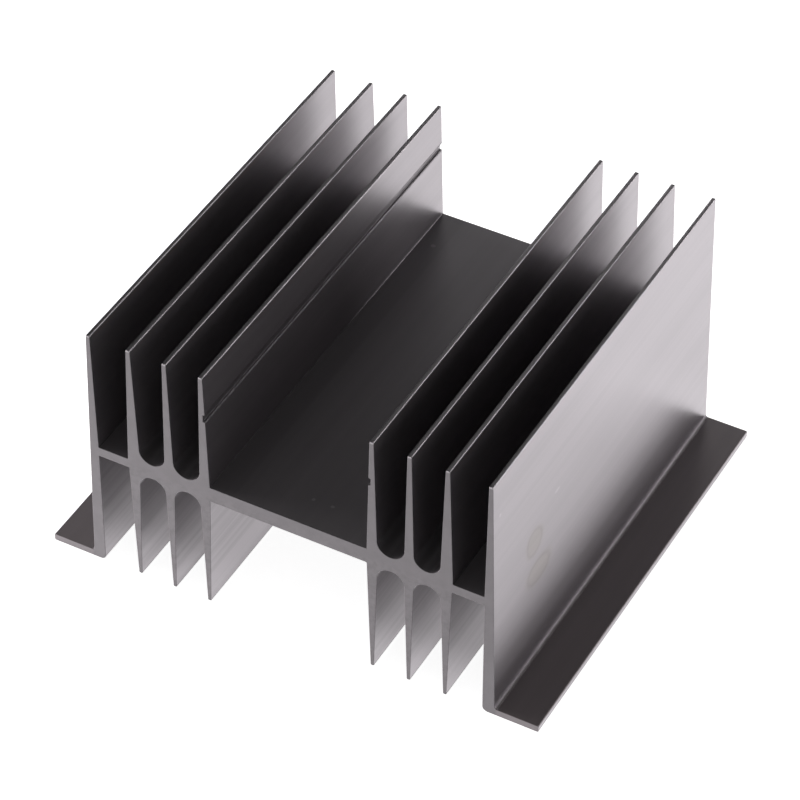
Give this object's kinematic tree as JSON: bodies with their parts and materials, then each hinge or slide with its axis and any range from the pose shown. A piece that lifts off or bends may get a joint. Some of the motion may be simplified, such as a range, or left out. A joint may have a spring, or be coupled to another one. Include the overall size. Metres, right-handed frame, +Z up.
{
  "type": "extruded heat sink",
  "caption": "Black anodised extruded heat sink with tapered fins above and below a cross web, a clear centre channel for a power device and flat feet along both sides.",
  "frame": {"origin": "centre of the outline seen from above, in the plane of the feet's undersides", "axes": "+Z up, away from the surface that the feet stand on; Y along the extrusion's length; X across the fins"},
  "size_m": [0.117, 0.1016, 0.0635],
  "materials": {
    "black_anodised_aluminium": "black anodised, satin, with fine extrusion streaks along the length"
  },
  "bodies": {
    "root": {"heat_sink": "black_anodised_aluminium"}
  },
  "joints": []
}
